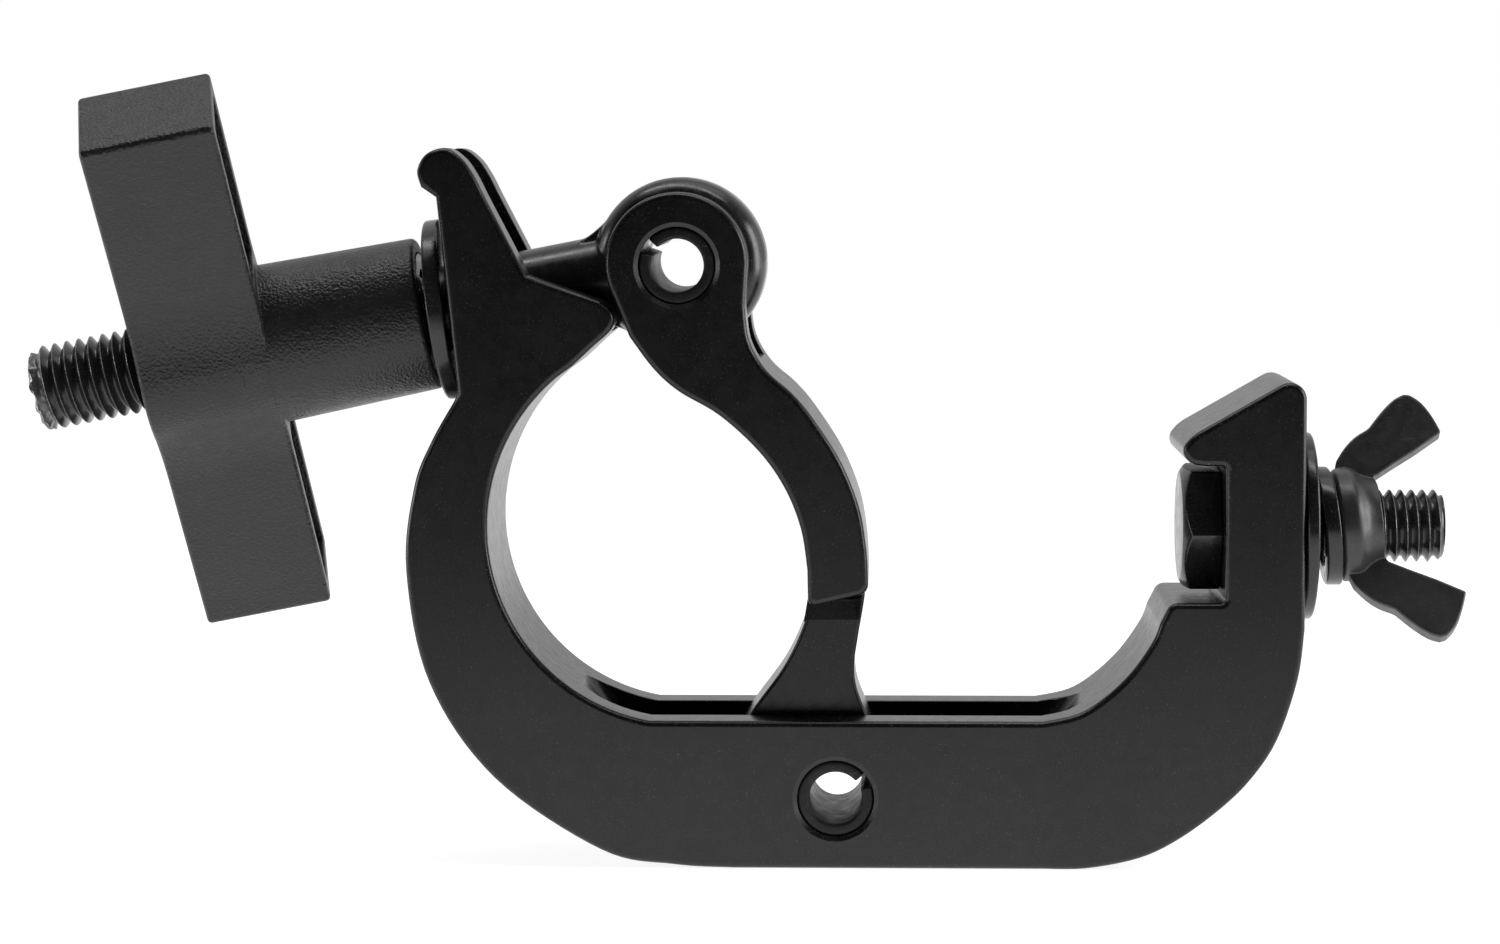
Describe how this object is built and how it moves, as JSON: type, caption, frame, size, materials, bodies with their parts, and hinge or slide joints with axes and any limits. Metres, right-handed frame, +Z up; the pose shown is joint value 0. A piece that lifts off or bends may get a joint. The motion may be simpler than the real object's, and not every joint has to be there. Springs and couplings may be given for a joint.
{
  "type": "pipe clamp",
  "caption": "Black stage-rigging pipe clamp: a hook body and a hinged jaw close round a tube, held by an eyebolt with a T handle; a bolt with wing nut carries the fixture.",
  "frame": {"origin": "centre of the clamped tube, on the clamp's middle plane", "axes": "+Y along the tube's axis, across the clamp's width; +Z up from the hook's flat back; +X along the flat back, from the ring and its T handle towards the arm that carries the fixture bolt"},
  "size_m": [0.2307, 0.0657, 0.1259],
  "materials": {
    "black_powder_coat": "fine textured satin black powder coat on cast aluminium",
    "blackened_steel": "black coated steel, semi-gloss",
    "moulded_handle": "finely grained matt black"
  },
  "bodies": {
    "clamp_body": {"hook": "black_powder_coat", "lower_pin": "blackened_steel", "fixture_bolt": "blackened_steel"},
    "jaw": {"jaw": "black_powder_coat", "upper_pin": "blackened_steel"},
    "eyebolt": {"eyebolt": "blackened_steel"},
    "handle_carriage": {"eyebolt_washer": "blackened_steel"},
    "handle": {"handle": "moulded_handle", "handle_insert": "blackened_steel"},
    "nut_carriage": {"flat_washer": "blackened_steel"},
    "wing_nut": {"wing_nut": "blackened_steel", "spring_washer": "blackened_steel"}
  },
  "joints": [
    {"name": "jaw_swing", "type": "hinge", "parent": "clamp_body", "child": "jaw", "pos_m": [0.02925, 0, -0.0381], "axis": [0, 1, 0], "range_deg": [0, 5]},
    {"name": "eyebolt_swing", "type": "hinge", "parent": "jaw", "child": "eyebolt", "pos_m": [0.0044, 0, 0.0464], "axis": [0, 1, 0], "range_deg": [0, 55]},
    {"name": "handle_travel", "type": "slide", "parent": "eyebolt", "child": "handle_carriage", "axis": [-0.9816, 0, -0.1908], "range_m": [0, 0.03]},
    {"name": "handle_spin", "type": "hinge", "parent": "handle_carriage", "child": "handle", "pos_m": [0.0044, 0, 0.0464], "axis": [-0.9816, 0, -0.1908], "range_deg": [0, 5400]},
    {"name": "nut_travel", "type": "slide", "parent": "clamp_body", "child": "nut_carriage", "axis": [1, 0, 0], "range_m": [0, 0.00525]},
    {"name": "wing_nut_spin", "type": "hinge", "parent": "nut_carriage", "child": "wing_nut", "pos_m": [0.112, 0, 0.00405], "axis": [1, 0, 0], "range_deg": [0, 1080]}
  ],
  "couplings": [
    {"joint": "handle_travel", "follows": "handle_spin", "m_per_rad": 0.00031831},
    {"joint": "eyebolt_swing", "follows": "handle_spin", "ratio": 0.010185},
    {"joint": "jaw_swing", "follows": "handle_spin", "ratio": 0.00092592},
    {"joint": "nut_travel", "follows": "wing_nut_spin", "m_per_rad": 0.00027852}
  ]
}
